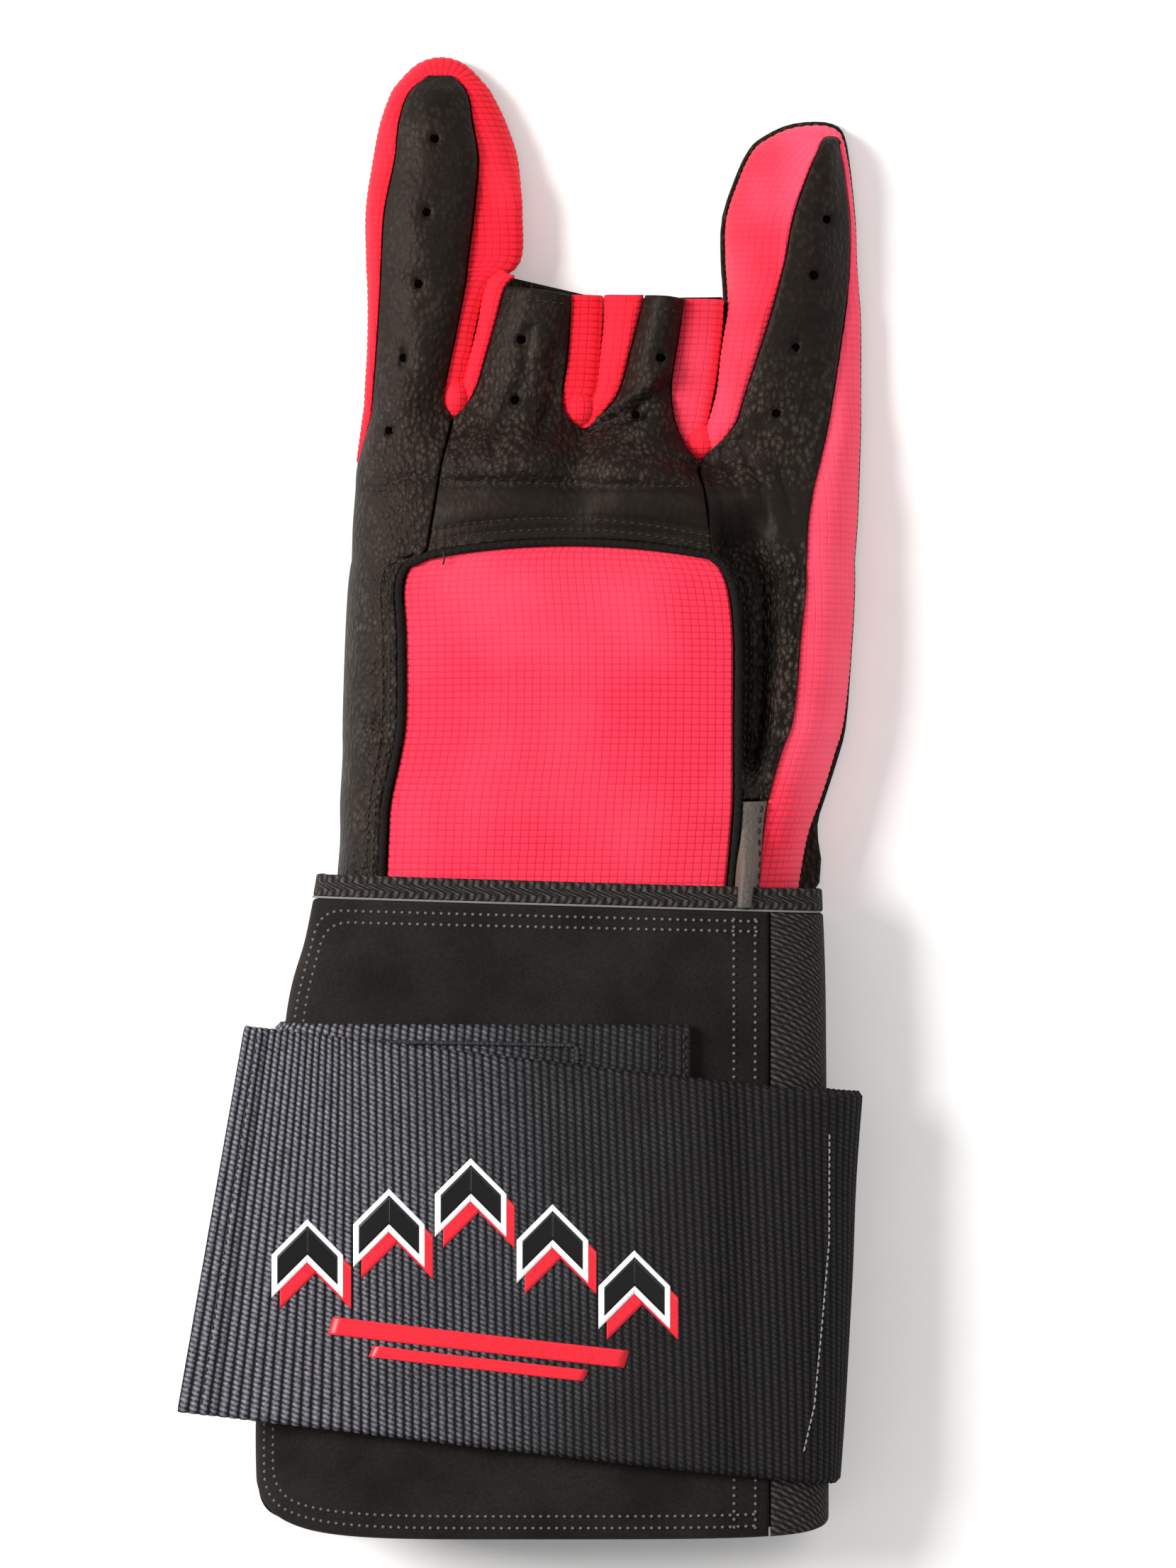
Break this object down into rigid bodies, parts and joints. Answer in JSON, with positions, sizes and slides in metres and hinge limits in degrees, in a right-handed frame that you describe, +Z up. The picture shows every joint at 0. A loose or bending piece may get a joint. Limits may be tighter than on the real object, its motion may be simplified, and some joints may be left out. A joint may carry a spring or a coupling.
{
  "type": "bowling glove",
  "caption": "Right-hand bowling glove lying palm down: black leather, red knit window and finger sides, open half fingers, suede wrist cuff closed by wide webbing straps.",
  "frame": {"origin": "middle of the underside of the whole glove, on the surface that it lies on", "axes": "+X from the index finger to the little finger, +Y from the wrist to the fingertips, +Z up, out of the back of the hand"},
  "size_m": [0.1348, 0.293, 0.0327],
  "materials": {
    "black_leather": "grained black leather with a warm grey sheen on the grain",
    "grey_leather": "smooth grey leather",
    "binding": "folded dark tape",
    "red_knit": "red waffle knit",
    "suede": "matt black suede with grey stitching",
    "twill": "woven dark grey twill elastic",
    "webbing": "ribbed dark grey webbing"
  },
  "bodies": {
    "root": {"index_leather": "black_leather", "middle_leather": "black_leather", "little_leather": "black_leather", "palm_leather": "black_leather", "window_binding": "binding", "leather_tab": "grey_leather", "back_knit": "red_knit", "index_fourchette": "red_knit", "middle_fourchette": "red_knit", "little_fourchette": "red_knit", "cuff_band": "twill", "cuff_panel": "suede", "cuff_elastic": "twill", "cuff_underside": "suede", "under_strap": "webbing", "wide_strap": "webbing"}
  },
  "joints": []
}
